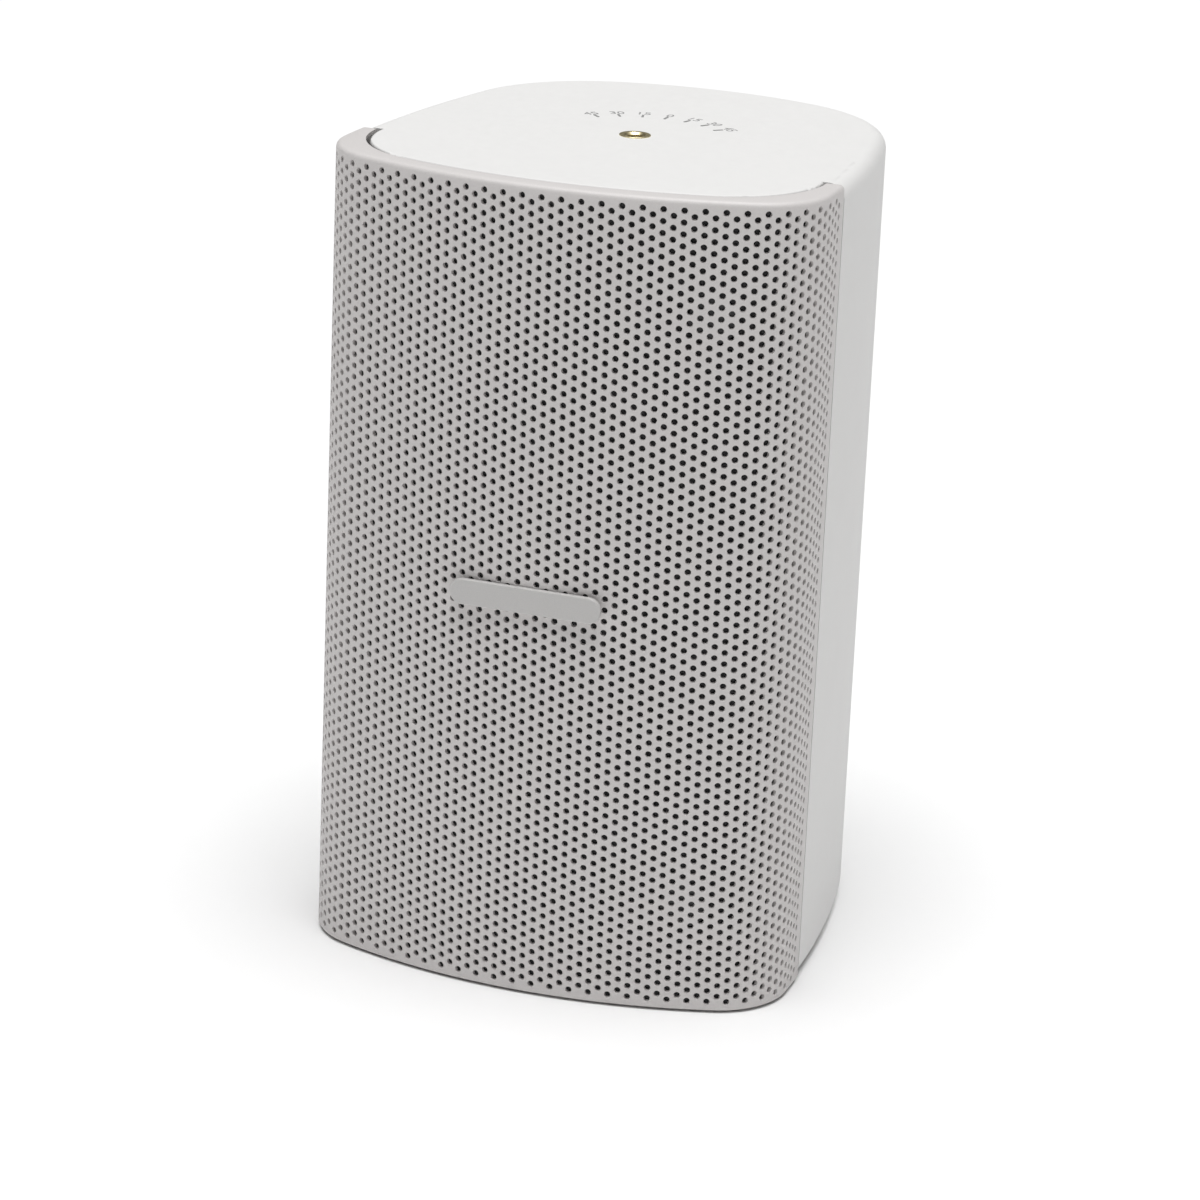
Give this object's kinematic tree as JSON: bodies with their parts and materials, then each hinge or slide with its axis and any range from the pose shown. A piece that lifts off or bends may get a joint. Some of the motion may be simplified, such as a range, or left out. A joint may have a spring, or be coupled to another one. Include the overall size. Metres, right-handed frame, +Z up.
{
  "type": "smart speaker",
  "caption": "Upright bracket-mount smart speaker: white moulded cabinet, wrap-round perforated grille with a blank turning badge, threaded pivot inserts and a network socket.",
  "frame": {"origin": "centre of the bottom of the bounding box, on the face it stands on", "axes": "+Z up, front (the grille) towards -Y, +X to the right seen from the front"},
  "size_m": [0.1544, 0.1632, 0.252],
  "materials": {
    "white_plastic": "fine satin moulded texture",
    "grille_paint": "powder coat, fine grain",
    "badge_grey": "satin",
    "brass": "machined",
    "black_plastic": "moulded",
    "foam_charcoal": "open-cell foam",
    "rubber_black": "matte",
    "steel_zinc": "zinc plated",
    "black_steel": "black stamped steel",
    "ferrite": "ground ceramic magnet",
    "copper": "enamelled wire",
    "cone_grey": "coated cone",
    "silk": "treated silk",
    "spider_cloth": "resin-treated cloth",
    "board_green": "solder mask",
    "aluminium": "extruded",
    "panel_paint": "powder coat",
    "terminal_green": "moulded",
    "light_pipe": "clear moulded",
    "button_grey": "moulded",
    "wire_black": "insulation",
    "capacitor_sleeve": "shrink sleeve",
    "mark_grey": "printed ink"
  },
  "bodies": {
    "cabinet": {"cabinet_shell": "white_plastic", "angle_scale": "mark_grey", "panel_frame": "white_plastic", "front_baffle": "black_plastic", "baffle_gasket": "rubber_black", "baffle_screws": "black_steel", "top_pivot_insert": "brass", "bottom_pivot_insert": "brass", "bracket_inserts": "brass", "tether_insert": "brass", "woofer_basket": "black_steel", "woofer_gasket": "rubber_black", "woofer_screws": "black_steel", "woofer_magnet": "ferrite", "woofer_top_plate": "steel_zinc", "woofer_yoke": "steel_zinc", "woofer_surround": "rubber_black", "woofer_spider": "spider_cloth", "woofer_terminals": "brass", "tweeter_faceplate": "black_plastic", "tweeter_magnet": "steel_zinc", "tweeter_screws": "black_steel", "port_duct": "black_plastic", "damping_pad": "foam_charcoal", "microphone_board": "board_green", "microphones": "steel_zinc", "grille_grommets": "rubber_black", "input_panel": "panel_paint", "input_panel_gasket": "rubber_black", "input_panel_screws": "steel_zinc", "main_board": "board_green", "board_standoffs": "steel_zinc", "board_screws": "steel_zinc", "heat_spreader": "aluminium", "amplifier_chip": "black_plastic", "processor_module": "steel_zinc", "wireless_module": "steel_zinc", "capacitors": "capacitor_sleeve", "inductors": "ferrite", "isolation_transformer": "ferrite", "network_socket": "black_plastic", "terminal_header": "terminal_green", "board_switches": "black_plastic", "status_light_pipe": "light_pipe", "woofer_lead": "wire_black", "tweeter_lead": "wire_black", "microphone_lead": "wire_black"},
    "grille": {"grille_tray": "grille_paint", "grille_foam": "foam_charcoal", "grille_studs": "black_plastic", "badge_bush": "black_plastic"},
    "badge": {"badge": "badge_grey", "badge_retainer": "steel_zinc"},
    "woofer_cone": {"woofer_cone": "cone_grey", "dust_cap": "cone_grey", "voice_coil": "copper"},
    "tweeter_dome": {"tweeter_dome": "silk"},
    "reset_button": {"reset_button": "button_grey"},
    "pair_button": {"pair_button": "button_grey"},
    "mute_slider": {"mute_slider": "button_grey"}
  },
  "joints": [
    {"name": "grille_pull", "type": "slide", "parent": "cabinet", "child": "grille", "axis": [0, -1, 0], "range_m": [0, 0.06]},
    {"name": "badge_turn", "type": "hinge", "parent": "grille", "child": "badge", "pos_m": [0, -0.07991, 0.126], "axis": [0, 1, 0], "range_deg": [0, 90]},
    {"name": "woofer_stroke", "type": "slide", "parent": "cabinet", "child": "woofer_cone", "axis": [0, -1, 0], "range_m": [-0.004, 0.004], "stiffness_N_per_m": 900},
    {"name": "tweeter_stroke", "type": "slide", "parent": "cabinet", "child": "tweeter_dome", "axis": [0, -1, 0], "range_m": [-0.0003, 0.0003], "stiffness_N_per_m": 900},
    {"name": "reset_press", "type": "slide", "parent": "cabinet", "child": "reset_button", "axis": [0, -1, 0], "range_m": [0, 0.001], "stiffness_N_per_m": 700},
    {"name": "pair_press", "type": "slide", "parent": "cabinet", "child": "pair_button", "axis": [0, -1, 0], "range_m": [0, 0.001], "stiffness_N_per_m": 700},
    {"name": "mute_slide", "type": "slide", "parent": "cabinet", "child": "mute_slider", "axis": [1, 0, 0], "range_m": [0, 0.003]}
  ]
}
